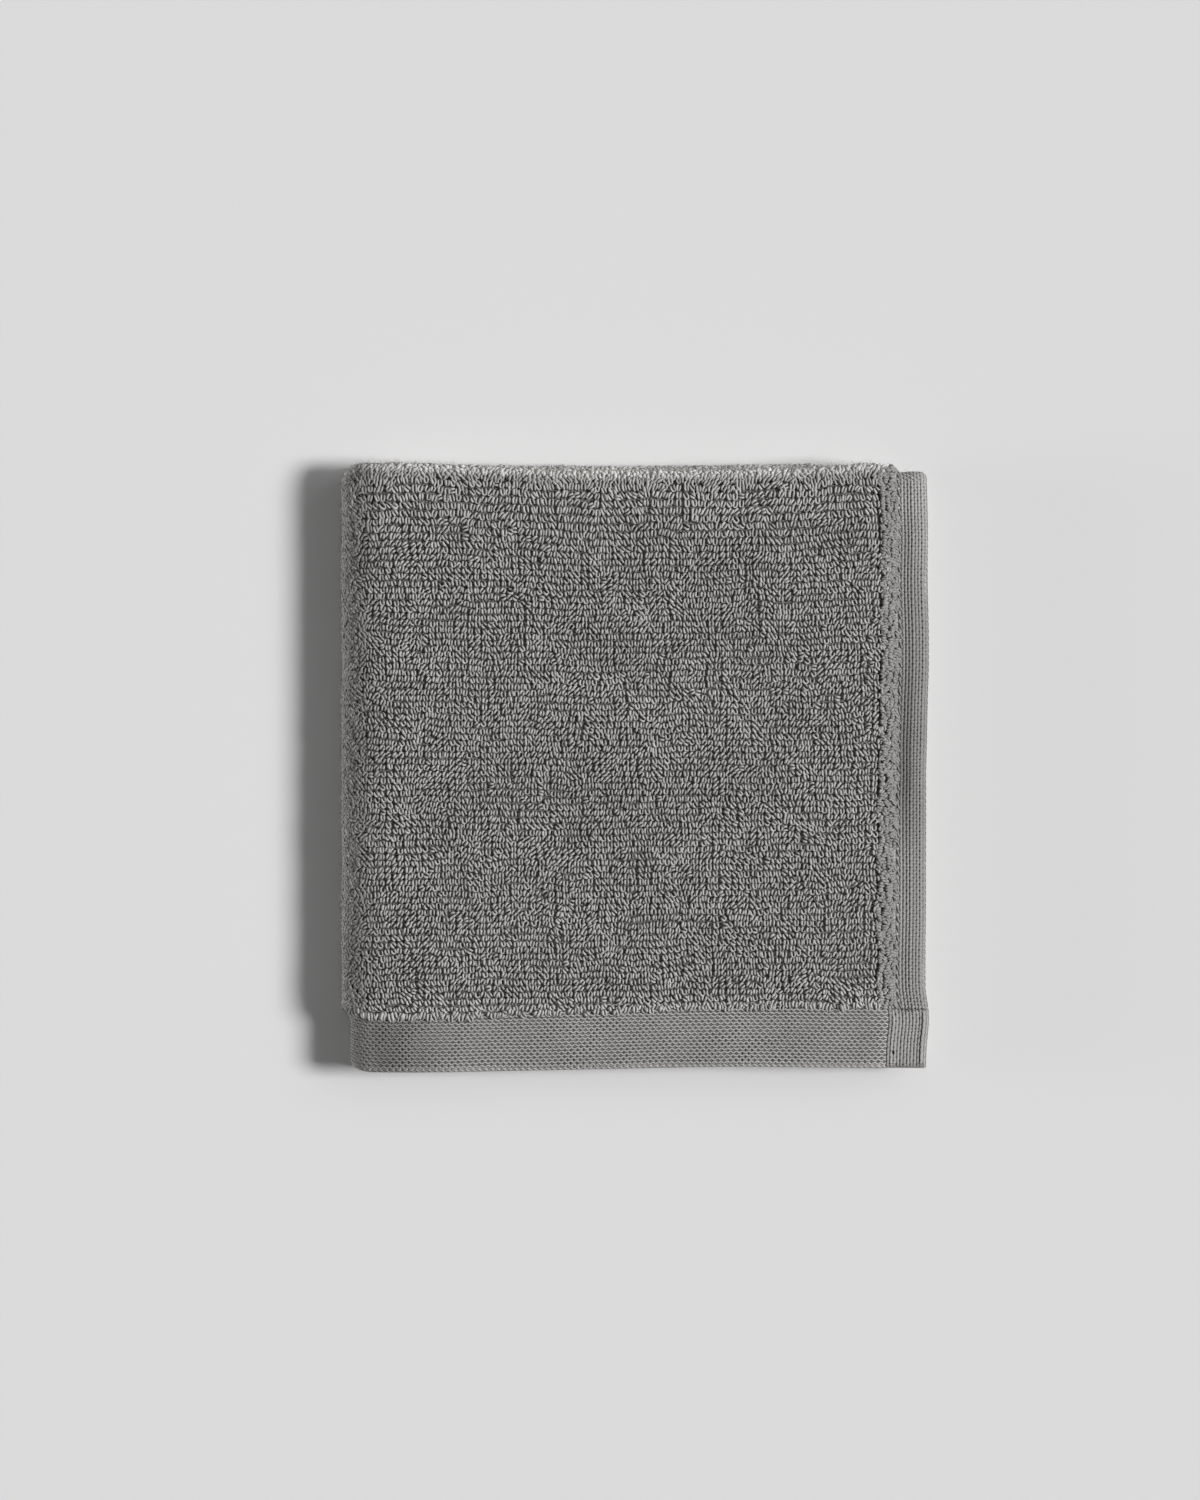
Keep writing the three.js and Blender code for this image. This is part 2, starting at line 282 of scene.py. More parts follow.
def new_piece(name, points_mm, triangles, tone, material):
    """A joined mesh of triangles. tone is each point's share of the material's colour, random
    tone and painted light and shade together.
    """
    mesh = bpy.data.meshes.new(name)
    triangles = np.asarray(triangles, np.int32)
    mesh.vertices.add(len(points_mm))
    mesh.vertices.foreach_set("co", (np.asarray(points_mm) * MM).astype(np.float32).ravel())
    mesh.loops.add(triangles.size)
    mesh.loops.foreach_set("vertex_index", triangles.ravel())
    mesh.polygons.add(len(triangles))
    mesh.polygons.foreach_set("loop_start", np.arange(0, triangles.size, 3, dtype=np.int32))
    mesh.update(calc_edges=True)
    mesh.shade_smooth()
    shares = mesh.attributes.new("tone", "FLOAT", "POINT")
    shares.data.foreach_set("value", np.asarray(tone, np.float32))
    mesh.materials.append(material)
    obj = bpy.data.objects.new(name, mesh)
    bpy.context.collection.objects.link(obj)
    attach(obj, "root")
    return obj


def new_group(name, sockets):
    group = bpy.data.node_groups.new(name, "ShaderNodeTree")
    for title, kind, way in sockets:
        group.interface.new_socket(name=title, in_out=way, socket_type=kind)
    return group, group.nodes.new("NodeGroupInput"), group.nodes.new("NodeGroupOutput")


def math_node(tree, operation, first, second, third=0.0):
    """A math node between sockets or numbers, and its result."""
    node = tree.nodes.new("ShaderNodeMath")
    node.operation = operation
    for socket, given in zip(node.inputs, (first, second, third)):
        if isinstance(given, float):
            socket.default_value = given
        else:
            tree.links.new(given, socket)
    return node.outputs["Value"]


def fibre_group():
    """Cotton fibre: the colour in a mottled shade of the mesh's tone attribute, which holds both
    random tone and painted light and shade, and a fine relief.
    """
    group, given, result = new_group("cotton_fibre", [
        ("Colour", "NodeSocketColor", "INPUT"),
        ("Mottle", "NodeSocketFloat", "INPUT"),
        ("Scale", "NodeSocketFloat", "INPUT"),
        ("Colour", "NodeSocketColor", "OUTPUT"),
        ("Height", "NodeSocketFloat", "OUTPUT"),
    ])
    place = group.nodes.new("ShaderNodeTexCoord")
    fibre = group.nodes.new("ShaderNodeTexNoise")
    fibre.inputs["Detail"].default_value = 2
    group.links.new(place.outputs["Object"], fibre.inputs["Vector"])
    group.links.new(given.outputs["Scale"], fibre.inputs["Scale"])
    tone = group.nodes.new("ShaderNodeAttribute")
    tone.attribute_name = "tone"
    swing = math_node(group, "SUBTRACT", fibre.outputs["Fac"], 0.5)
    mottled = math_node(group, "MULTIPLY_ADD", swing, given.outputs["Mottle"], 1.0)
    tint = group.nodes.new("ShaderNodeVectorMath")
    tint.operation = "SCALE"
    group.links.new(given.outputs["Colour"], tint.inputs[0])
    group.links.new(math_node(group, "MULTIPLY", mottled, tone.outputs["Fac"]), tint.inputs["Scale"])
    group.links.new(tint.outputs["Vector"], result.inputs["Colour"])
    group.links.new(fibre.outputs["Fac"], result.inputs["Height"])
    return group


def weave_group():
    """Relief of a plain weave, as the threads of a ground about 0.9 mm apart in all directions."""
    group, given, result = new_group("plain_weave", [
        ("Scale", "NodeSocketFloat", "INPUT"),
        ("Height", "NodeSocketFloat", "OUTPUT"),
    ])
    place = group.nodes.new("ShaderNodeTexCoord")
    heights = []
    for direction in ("X", "Y", "Z"):
        wave = group.nodes.new("ShaderNodeTexWave")
        wave.bands_direction = direction
        group.links.new(place.outputs["Object"], wave.inputs["Vector"])
        group.links.new(given.outputs["Scale"], wave.inputs["Scale"])
        heights.append(wave.outputs["Fac"])
    flat = math_node(group, "MULTIPLY", heights[0], heights[1])
    upright = math_node(group, "MULTIPLY", heights[1], heights[2])
    group.links.new(math_node(group, "ADD", flat, upright), result.inputs["Height"])
    return group


COTTON_FIBRE = fibre_group()
PLAIN_WEAVE = weave_group()
FIBRE_SCALE = 2600
FIBRE_MOTTLE = 0.5
FIBRE_RELIEF_M = 0.00006
WEAVE_SCALE = 349
WEAVE_RELIEF_M = 0.0003
COTTON_ROUGHNESS = 0.9


def cotton(name, colour, woven=False):
    """Soft grey cotton, rough and without shine. woven adds the threads of a plain ground."""
    material = bpy.data.materials.new(name)
    material.use_nodes = True
    nodes, links = material.node_tree.nodes, material.node_tree.links
    shader = nodes["Principled BSDF"]
    shader.inputs["Roughness"].default_value = COTTON_ROUGHNESS
    shader.inputs["Specular IOR Level"].default_value = 0.0
    fibre = nodes.new("ShaderNodeGroup")
    fibre.node_tree = COTTON_FIBRE
    fibre.inputs["Colour"].default_value = (*colour, 1)
    fibre.inputs["Mottle"].default_value = FIBRE_MOTTLE
    fibre.inputs["Scale"].default_value = FIBRE_SCALE
    links.new(fibre.outputs["Colour"], shader.inputs["Base Color"])
    bump = nodes.new("ShaderNodeBump")
    bump.inputs["Distance"].default_value = FIBRE_RELIEF_M
    links.new(fibre.outputs["Height"], bump.inputs["Height"])
    if woven:
        weave = nodes.new("ShaderNodeGroup")
        weave.node_tree = PLAIN_WEAVE
        weave.inputs["Scale"].default_value = WEAVE_SCALE
        threads = nodes.new("ShaderNodeBump")
        threads.inputs["Distance"].default_value = WEAVE_RELIEF_M
        links.new(weave.outputs["Height"], threads.inputs["Height"])
        links.new(threads.outputs["Normal"], bump.inputs["Normal"])
    links.new(bump.outputs["Normal"], shader.inputs["Normal"])
    return material


def ground_lines(hem, span):
    """Mesh lines from hem to fold to hem: each line's distance from its hem and turn at the fold."""
    edges = np.array(hem["from_edge"])
    flat = [np.linspace(a, b, GROUND_HEM_STEPS, endpoint=False) for a, b in zip(edges, edges[1:])]
    flat.append(np.linspace(edges[-1], span, GROUND_PILE_STEPS, endpoint=False))
    flat = np.concatenate(flat)
    turns = np.linspace(-math.pi / 2, math.pi / 2, GROUND_FOLD_STEPS + 1)
    from_edge = np.concatenate([flat, np.full(len(turns), span), flat[::-1]])
    turn = np.concatenate([np.full(len(flat), -math.pi / 2), turns, np.full(len(flat), math.pi / 2)])
    return from_edge, turn


def quads(a, b, c, d):
    a, b, c, d = (np.ravel(v) for v in (a, b, c, d))
    return np.concatenate([np.stack([a, b, c], 1), np.stack([a, c, d], 1)])


def ground_mesh():
    """Outer and inner face of the cloth, and a rounded rim round all four edges. The ground carries
    painted shade: it is darker under the pile than where it is bare, and darker still where threads
    cover the top leaf, so that the gaps between loops and between threads show as shade."""
    side_edge, side_turn = ground_lines(SIDE_HEM, SIDE_SPAN)
    end_edge, end_turn = ground_lines(END_BORDER, END_SPAN)
    columns, rows = len(side_edge), len(end_edge)
    from_side, from_end = np.meshgrid(side_edge, end_edge)
    turn_side, turn_end = np.meshgrid(side_turn, end_turn)
    sunk = PILE_HEIGHT * pile_share(from_side, from_end)
    outer_points = folded(from_side, turn_side, from_end, turn_end, 1, sunk).reshape(-1, 3)
    inner_points = folded(from_side, turn_side, from_end, turn_end, -1).reshape(-1, 3)
    outer = np.arange(rows * columns).reshape(rows, columns)
    inner = outer + rows * columns
    rim = np.concatenate([outer[0, :-1], outer[:-1, -1], outer[-1, :0:-1], outer[:0:-1, 0]])
    at_side = np.isin(rim, np.concatenate([outer[:, 0], outer[:, -1]]))
    at_end = np.isin(rim, np.concatenate([outer[0], outer[-1]]))
    outward = np.stack([at_side * RIM_OUT, at_end * -RIM_OUT, np.zeros(len(rim))], axis=-1)
    tips = (outer_points[rim] + inner_points[rim]) / 2 + outward
    tip = np.arange(len(rim)) + 2 * rows * columns
    after = np.roll(np.arange(len(rim)), -1)
    triangles = [
        quads(outer[:-1, :-1], outer[1:, :-1], outer[1:, 1:], outer[:-1, 1:]),
        quads(inner[:-1, :-1], inner[:-1, 1:], inner[1:, 1:], inner[1:, :-1]),
        quads(rim, rim[after], tip[after], tip),
        quads(tip, tip[after], rim[after] + rows * columns, rim + rows * columns),
    ]
    bare = GROUND_PAINTED_SHADE["bare"]
    inner_tone = 1 + (bare - 1) * (1 - pile_share(from_side, from_end))
    covered = (turn_side > TOP_LEAF_TURN) & (turn_end > TOP_LEAF_TURN)
    covered = covered & (np.minimum(from_side, from_end) > RIM_BARE_TO)
    by_hem = from_side < CORNER_PIECE["side"]
    under = np.where(by_hem, GROUND_PAINTED_SHADE["under_hem"], GROUND_PAINTED_SHADE["under_border"])
    outer_tone = np.where(covered, under, inner_tone)
    tone = np.concatenate([outer_tone.ravel(), inner_tone.ravel(), np.full(len(rim), bare)])
    return np.concatenate([outer_points, inner_points, tips]), np.concatenate(triangles), tone


ground = new_piece("cloth_ground", *ground_mesh(), cotton("ground_cotton", GROUND_SHADE, woven=True))
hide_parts("washcloth")

# The pile: soft cotton loops woven into both faces of the ground, one to each step of the weave.
# Each rises from the ground, lies over and comes back, so that from above it shows two strands.
LEFT_ARC = math.pi / 4 * (1 + LEFT_FOLD_FULLNESS) * (1.5 * PILE_PITCH + PILE_THICKNESS / 2)
FAR_ARC = math.pi / 4 * (1 + FAR_FOLD_FULLNESS) * (PILE_PITCH + PILE_THICKNESS) / 2
LOOP_PITCH = 1.72
LOOP_PITCH_FAR = 2.15
LOOP_PITCH_LEFT_FOLD = 1.45
LOOP_WIDTH = 0.9
LOOP_LENGTH = 1.15
LOOP_HEIGHT = 0.76
YARN_RADIUS = 0.405
VARIES = {
    "width": 0.08,
    "length": 0.1,
    "height": 0.09,
    "radius": 0.07,
    "tilt": 0.25,
    "lean": 0.12,
    "tone": 0.07,
}
SLOW_LEAN = 0.3
LOOP_SHADE = (0.425, 0.417, 0.402)
PILE_END = {"x": [-80, -40, -10, 10, 40, 70], "back": [1.3, 1.3, 1.6, 2.0, 2.2, 2.8]}
PILE_SIDE = {"back": 1.3, "uneven": 1.3}
FAR_ROWS = {"from": 14, "to": 32}
WANDER_MM = {"across": 0.12, "along": 0.1}
TURN_DEGREES = {"slow": 50, "each": 10, "at_spots": 18, "on_left_fold": 20}
STRAY = {"share": 0.07, "turn": 1.2}
EDGE_LEAN = {"most": 0.35, "reach": 3}
# Painted light: the pile is lighter toward its near edge and toward its side edge.
EDGE_PAINTED_LIGHT = {"near": 0.15, "side": 0.1}
FOLD_ORDER = 0.6
LEFT_FOLD_THICKER = 0.15
FAR_FOLD_TALLER = 0.1
FAR_ROWS_LONGER = 0.35
VELVET = {"shorter": 0.45, "thicker": 0.7, "from": 1.5, "to": 5.5}
LOOSE_LOWER = 0.35
# Painted light and shade across the left fold, from its middle: its outer side lighter, a darker band over
# its upper round and shoulder, even from 18 mm in.
LEFT_FOLD_PAINTED_LIGHT = {
    "across": [0, 3, 5, 7.5, 9, 11, 13, 18],
    "tone": [1.5, 1.25, 1.02, 0.66, 0.56, 0.6, 0.8, 1.0],
}
# Painted light and shade along the far fold, from its middle: lighter over the fold, a darker strip where it
# meets the top, a little lighter again just beyond.
FAR_FOLD_PAINTED_LIGHT = {
    "along": [0, 3, 4.4, 5.6, 7, 9, 12, 17],
    "tone": [1.42, 1.35, 0.9, 0.95, 1.02, 1.08, 1.06, 1.0],
}
LOOP_PATH = {
    "across": [-0.36, -0.46, -0.5, -0.5, -0.42, 0.0],
    "along": [-0.5, -0.42, -0.16, 0.16, 0.42, 0.5],
    "up": [-0.1, 0.55, 0.95, 1.0, 0.85, 0.45],
}
PLAIN_PATH = {"across": [-0.4, -0.5, 0.0], "along": [-0.5, 0.0, 0.45], "up": [-0.1, 0.95, 0.75]}
SPOTS_ABOVE_Z = 10
SPOTS = {
    "x": [-31.6, -53.5, -68.5, -72.5, 61.4, 34.0],
    "y": [-39.0, -35.0, -47.0, -17.0, -46.0, 21.0],
    "radius": [5.5, 5.0, 6.0, 5.0, 7.0, 5.0],
    "strength": [1.0, 0.6, 0.6, 0.5, 0.7, 0.4],
}
rng = np.random.default_rng(7)


def on_cloth(across, along):
    """Cloth coordinates in millimetres over the outer face, from the middles of the two folds."""
    side_turn = np.clip(across / LEFT_ARC, -1, 1) * math.pi / 2
    end_turn = np.clip(along / FAR_ARC, -1, 1) * math.pi / 2
    from_side = SIDE_SPAN - np.maximum(np.abs(across) - LEFT_ARC, 0)
    from_end = END_SPAN - np.maximum(np.abs(along) - FAR_ARC, 0)
    return from_side, side_turn, from_end, end_turn


def skin(across, along, sunk=0.0):
    return folded(*on_cloth(across, along), 1, sunk)


def unit(vectors):
    return vectors / np.maximum(np.linalg.norm(vectors, axis=-1, keepdims=True), 1e-9)


def frames(across, along, step=0.5):
    """Directions on the outer face: toward the side hem, toward the end border, and outward."""
    to_side = unit(skin(across + step, along) - skin(across - step, along))
    to_end = skin(across, along + step) - skin(across, along - step)
    outward = unit(np.cross(to_end, to_side))
    return to_side, np.cross(to_side, outward), outward


def drift(across, along, size, seed):
    """Smooth random field from -1 to 1 over the cloth, with features about size mm across."""
    cells = int(460 / size) + 4
    values = np.random.default_rng(seed).uniform(-1, 1, (cells, cells))
    u = (across + 220) / size
    v = (along + 220) / size
    i, j = np.floor(u).astype(int), np.floor(v).astype(int)
    f, g = u - i, v - j
    f, g = f * f * (3 - 2 * f), g * g * (3 - 2 * g)
    near = values[i, j] * (1 - f) + values[i + 1, j] * f
    far = values[i, j + 1] * (1 - f) + values[i + 1, j + 1] * f
    return near * (1 - g) + far * g


def strand_mesh(line, away, half_width, half_height):
    """Closed strands with a half-round section and pointed ends. line is (strand, ring, xyz), and
    away is the direction that the round side faces."""
    tangent = unit(np.gradient(line, axis=1))
    side = unit(np.cross(away, tangent))
    up = np.cross(tangent, side)
    strands, rings = line.shape[0], line.shape[1] - 2
    wide, high = side * half_width[..., None], up * half_height[..., None]
    corners = np.stack([wide, high, -wide], axis=2)
    round_points = (line[:, 1:-1, None] + corners[:, 1:-1]).reshape(strands, rings * 3, 3)
    points = np.concatenate([round_points, line[:, :1], line[:, -1:]], axis=1)
    first_tip, last_tip = rings * 3, rings * 3 + 1
    pattern = []
    for corner in range(3):
        after = (corner + 1) % 3
        pattern.append((first_tip, after, corner))
        pattern.append((last_tip, (rings - 1) * 3 + corner, (rings - 1) * 3 + after))
        for ring in range(rings - 1):
            low, high = ring * 3, ring * 3 + 3
            pattern.append((low + corner, high + after, high + corner))
            pattern.append((low + corner, low + after, high + after))
    per_strand = rings * 3 + 2
    triangles = np.array(pattern)[None] + (np.arange(strands) * per_strand)[:, None, None]
    points = points.reshape(-1, 3)
    points[:, 2] = np.maximum(points[:, 2], 0)
    return points, triangles.reshape(-1, 3)


def strand_tone(tone):
    """Tone of each point of a strand mesh, from the tone of each ring. tone is (strand, ring)."""
    return np.concatenate([np.repeat(tone[:, 1:-1], 3, axis=1), tone[:, :1], tone[:, -1:]], axis=1).ravel()


def loops(at, path):
    """Loops rooted in the ground. at holds each loop's place, turn, size, lean and tone, and
    painted_root_shade is the share of that tone at the root: a painted shade that darkens a loop
    toward its root wherever it is below 1."""
    across, along = at["across"], at["along"]
    root = skin(across, along, PILE_HEIGHT * pile_share(*on_cloth(across, along)[::2]))
    to_side, to_end, outward = frames(across, along)
    cos, sin = np.cos(at["turn"])[:, None], np.sin(at["turn"])[:, None]
    wide_way = cos * to_side + sin * to_end
    long_way = cos * to_end - sin * to_side
    out = np.array([path["across"], path["along"], path["up"]])
    back = out[:, -2::-1] * np.array([[-1], [1], [1]])
    wide, far, up = np.concatenate([out, back], axis=1)
    u = wide[None] * at["width"][:, None]
    v = far[None] * at["length"][:, None]
    w = up[None] * at["height"][:, None] * (1 + at["tilt"][:, None] * wide[None])
    lean = at["lean_side"][:, None] * to_side + at["lean_end"][:, None] * to_end
    line = root[:, None] + u[..., None] * wide_way[:, None] + v[..., None] * long_way[:, None]
    line = line + w[..., None] * (outward + lean)[:, None]
    middle = root + (0.3 * at["height"])[:, None] * (outward + lean)
    radius = at["radius"][:, None] * (0.8 + 0.2 * np.clip(up, 0, 1))[None]
    points, triangles = strand_mesh(line, line - middle[:, None], radius, radius)
    painted_root_shade = at["painted_root_shade"][:, None]
    painted_depth_shade = painted_root_shade + (1 - painted_root_shade) * np.clip(up, 0, 1)[None]
    return points, triangles, strand_tone(at["tone"][:, None] * painted_depth_shade)


def loop_sizes(across, along, turn):
    """Ordinary loops at these places, each a little different."""
    count = len(across)

    def varied(what):
        return rng.normal(0, VARIES[what], count)

    return {
        "across": across,
        "along": along,
        "turn": turn,
        "width": LOOP_WIDTH * (1 + varied("width")),
        "length": LOOP_LENGTH * (1 + varied("length")),
        "height": LOOP_HEIGHT * (1 + varied("height") + 0.12 * drift(across, along, 5, 6)),
        "radius": YARN_RADIUS * (1 + varied("radius")),
        "tilt": varied("tilt"),
        "lean_side": varied("lean") + SLOW_LEAN * drift(across, along, 5, 9),
        "lean_end": varied("lean") + SLOW_LEAN * drift(across, along, 4, 10),
        "tone": np.clip(1 + varied("tone") + 0.06 * drift(across, along, 8, 8), 0.7, 1.3),
        "painted_root_shade": np.ones(count),
    }


def steps_between(start, end, pitch_of):
    """Places from start to end, each the local pitch after the last."""
    places = [start]
    while places[-1] < end:
        places.append(places[-1] + pitch_of(places[-1]))
    return np.array(places)


side_end = LEFT_ARC + SIDE_SPAN - PILE_STARTS["side"] - 0.6
near_end = FAR_ARC + END_SPAN - PILE_STARTS["end"]


def near_end_at(across):
    """Where the last loops stand, a little farther from the border toward the side hem."""
    return near_end - through(PILE_END, "x", "back", LEFT_CENTRE_X + np.abs(across) - LEFT_ARC)


def side_end_at(along):
    """Where the last loops stand by the side hem, an uneven edge."""
    return side_end - PILE_SIDE["back"] + PILE_SIDE["uneven"] * drift(0 * along, along, 5, 15)


def column_pitch(across):
    off_fold = ramp(abs(across), LEFT_ARC - 2, LEFT_ARC + 2)
    return LOOP_PITCH_LEFT_FOLD * (1 - off_fold) + LOOP_PITCH * off_fold


def row_pitch(along):
    off_fold = ramp(along, FAR_ROWS["from"], FAR_ROWS["to"])
    return LOOP_PITCH_FAR * (1 - off_fold) + LOOP_PITCH * off_fold


def pile_places():
    """Where the loops stand: columns and rows that wander, and twice as many on the folds."""
    columns = steps_between(-side_end, side_end, column_pitch)
    rows = steps_between(-FAR_ARC, near_end, row_pitch)
    across, along = (v.ravel() for v in np.meshgrid(columns, rows))
    on_left_fold = 1 - ramp(np.abs(across), LEFT_ARC - 6, LEFT_ARC + 2)
    on_far_fold = 1 - ramp(along, FAR_ARC - 3, FAR_ARC + 3)
    doubled = rng.random(len(across)) < np.maximum(on_left_fold, on_far_fold)
    across = np.concatenate([across, across[doubled] + LOOP_PITCH_LEFT_FOLD / 2])
    along = np.concatenate([along, along[doubled] + LOOP_PITCH / 2])
    row_shift = 0.55 * drift(across * 0.35, along, 3.6, 1) + 0.3 * drift(across, along, 4, 2)
    column_shift = 0.5 * drift(across, along * 0.6, 8, 3) + 0.25 * drift(across, along, 4, 4)
    across = across + row_shift + rng.normal(0, WANDER_MM["across"], len(across))
    along = along + column_shift + rng.normal(0, WANDER_MM["along"], len(across))
    inside = (along < near_end_at(across)) & (np.abs(across) < side_end_at(along))
    return across[inside], along[inside]


def looseness(across, along):
    """How disturbed the pile is at a few spots of the top leaf."""
    at = skin(across, along)
    loose = np.zeros(len(across))
    for row in range(len(SPOTS["x"])):
        far = np.hypot(at[:, 0] - SPOTS["x"][row], at[:, 1] - SPOTS["y"][row]) / SPOTS["radius"][row]
        loose += SPOTS["strength"][row] * (1 - ramp(far, 0, 1)) * (at[:, 2] > SPOTS_ABOVE_Z)
    return loose


across, along = pile_places()
loose = looseness(across, along)
left_fold = (1 - ramp(np.abs(across), LEFT_ARC - 2, LEFT_ARC + 3)) * (along > FAR_ARC)
unruly = TURN_DEGREES["each"] + TURN_DEGREES["at_spots"] * loose + TURN_DEGREES["on_left_fold"] * left_fold
turn = TURN_DEGREES["slow"] * drift(across, along, 4.5, 5) + unruly * rng.normal(0, 1, len(across))
turn = np.radians(turn)
stray = rng.random(len(across)) < STRAY["share"]
turn = np.where(stray, turn + rng.uniform(-STRAY["turn"], STRAY["turn"], len(across)), turn)
turned_back = drift(across, along, 9, 14) + rng.normal(0, 0.4, len(across)) > 0
pile_at = loop_sizes(across, along, turn + math.pi * turned_back)
far_rows = 1 - ramp(along, FAR_ROWS["from"], FAR_ROWS["to"])
at_far_fold = 1 - ramp(np.abs(along), FAR_ARC - 1, FAR_ARC + 5)
velvet = 1 - ramp(np.abs(along), VELVET["from"], VELVET["to"])
pile_at["length"] = pile_at["length"] * (1 + FAR_ROWS_LONGER * far_rows - VELVET["shorter"] * velvet)
pile_at["radius"] = pile_at["radius"] * (1 + VELVET["thicker"] * velvet + LEFT_FOLD_THICKER * left_fold)
pile_at["height"] = pile_at["height"] - LOOSE_LOWER * loose + FAR_FOLD_TALLER * at_far_fold
for lean, beyond in (("lean_side", across - side_end), ("lean_end", along - near_end_at(across))):
    over_edge = EDGE_LEAN["most"] * ramp(beyond, -EDGE_LEAN["reach"], 0)
    pile_at[lean] = pile_at[lean] * (1 - FOLD_ORDER * left_fold) + over_edge
# Painted light and shade on the pile's far fold, faded out toward the left fold.
far_fold_painted_light = 1 + (through(FAR_FOLD_PAINTED_LIGHT, "along", "tone", along) - 1) * ramp(np.abs(across), -4, LEFT_ARC)
# Painted light toward the pile's near and side edges.
edge_painted_light = 1 + EDGE_PAINTED_LIGHT["near"] * ramp(near_end_at(across) - along, 8, 0)
edge_painted_light = edge_painted_light + EDGE_PAINTED_LIGHT["side"] * ramp(across, side_end - 4, side_end)
# Painted light and shade across the left fold.
left_fold_painted_light = through(LEFT_FOLD_PAINTED_LIGHT, "across", "tone", np.abs(across))
pile_at["tone"] = pile_at["tone"] * far_fold_painted_light * edge_painted_light * left_fold_painted_light

on_top = (across > LEFT_ARC) & (along > FAR_ARC)
third = (near_end - FAR_ARC) / 3
regions = {
    "pile_far_folds": along <= FAR_ARC,
    "pile_left_fold": (np.abs(across) <= LEFT_ARC) & (along > FAR_ARC),
    "pile_top_far": on_top & (along <= FAR_ARC + third),
    "pile_top_middle": on_top & (along > FAR_ARC + third) & (along <= FAR_ARC + 2 * third),
    "pile_top_near": on_top & (along > FAR_ARC + 2 * third),
    "pile_under": (across < -LEFT_ARC) & (along > FAR_ARC),
}
loop_cotton = cotton("loop_cotton", LOOP_SHADE)
for name, here in regions.items():
    path = PLAIN_PATH if name == "pile_under" else LOOP_PATH
    here_at = {key: values[here] for key, values in pile_at.items()}
    new_piece(name, *loops(here_at, path), loop_cotton)

# The pile's own edges: longer loops that hang over the woven border and lie over on the hem. They
# are the last loops before the weave closes, so nothing holds them up.
LYING_PATH = {
    "across": [-0.36, -0.44, -0.5, -0.46, -0.3, 0.0],
    "along": [-0.5, -0.42, -0.1, 0.22, 0.44, 0.5],
    "up": [-0.1, 0.7, 1.0, 0.8, 0.5, 0.35],
}
FRINGE_PITCH = 1.0
FRINGE_HEIGHT = 0.75
FRINGE_TONE = 1.1
HEM_LOOP_PITCH = 0.9
HEM_LOOP_LENGTH = 1.5
HEM_LOOP_COLUMNS = {
    "from_pile": [-2.0, -0.8, 0.5, 1.6],
    "height": [0.95, 0.8, 0.65, 0.55],
    "tone": [0.77, 0.69, 0.68, 0.68],
}


def fringe():
    """Loops over the end border, longest near the left fold."""
    across = np.arange(-LEFT_ARC * 0.6, side_end, FRINGE_PITCH)
    count = len(across)
    across = across + rng.normal(0, 0.25, count)
    left = 1 - ramp(across - LEFT_ARC, 25, 40)
    right = ramp(across - LEFT_ARC, 112, 122)
    along = near_end_at(across) + 0.3 + 0.4 * left + rng.normal(0, 0.3, count)
    at = loop_sizes(across, along, rng.normal(0, 0.35, count))
    at["length"] = (1.3 + 0.9 * left + 0.5 * right) * (1 + rng.normal(0, 0.18, count))
    at["height"] = FRINGE_HEIGHT + rng.normal(0, 0.1, count)
    at["tone"] = FRINGE_TONE + rng.normal(0, 0.1, count)
    # Painted shade: the fringe loops are darker toward their roots, most near the left fold.
    at["painted_root_shade"] = 0.88 - 0.15 * left
    kept = rng.random(count) < 0.75 + 0.2 * left
    return loops({key: values[kept] for key, values in at.items()}, LYING_PATH)


def hem_loops():
    """Soft loops that lie over from the pile's side edge toward the hem, in four columns."""
    places = np.arange(2.0, near_end - 2.5, HEM_LOOP_PITCH)
    along = np.concatenate([places, places + HEM_LOOP_PITCH / 2] * 2)
    count = len(along)
    along = along + rng.normal(0, 0.25, count)
    from_pile, height, tone = (np.repeat(row, len(places)) for row in HEM_LOOP_COLUMNS.values())
    across = side_end + from_pile + rng.normal(0, 0.3, count)
    across = across + 0.6 * drift(0 * along, along, 5, 15)
    at = loop_sizes(across, along, -math.pi / 2 + rng.normal(0, 0.4, count))
    at["width"] = at["width"] * 0.7
    at["length"] = HEM_LOOP_LENGTH * (1 + rng.normal(0, 0.15, count))
    at["height"] = height * (1 + rng.normal(0, 0.1, count))
    at["radius"] = at["radius"] * 1.15
    at["tone"] = tone + rng.normal(0, 0.05, count)
    return loops(at, LYING_PATH)


edge_cotton = cotton("edge_loop_cotton", LOOP_SHADE)
new_piece("pile_fringe", *fringe(), edge_cotton)
new_piece("pile_hem_loops", *hem_loops(), edge_cotton)

# The end border: a flat woven band between the pile and the turned edge. Its weft threads wave
# from side to side between the warp, each row half a wave after the last, so that short gaps show.
WEFT_PITCH = 0.9
WEFT_WAVE = 1.7
WEFT_STEP = 0.34
WEFT_SWING = 0.2
WEFT_STAGGER = 0.97 * math.pi
WEFT_THREAD = {"half_width": 0.34, "half_height": 0.22}
BORDER_SHADE = (0.455, 0.446, 0.43)
# Painted light and shade on the border by the left fold: lighter on the fold itself, darkest where it turns
# down, back to even over about 27 mm.
BORDER_PAINTED_SHADE = {
    "across": [-11, -6, -2, 1.3, 5.4, 9.5, 13.6, 17.7, 21.8, 27],
    "tone": [1.15, 0.95, 0.68, 0.58, 0.62, 0.68, 0.76, 0.86, 0.94, 1.0],
}


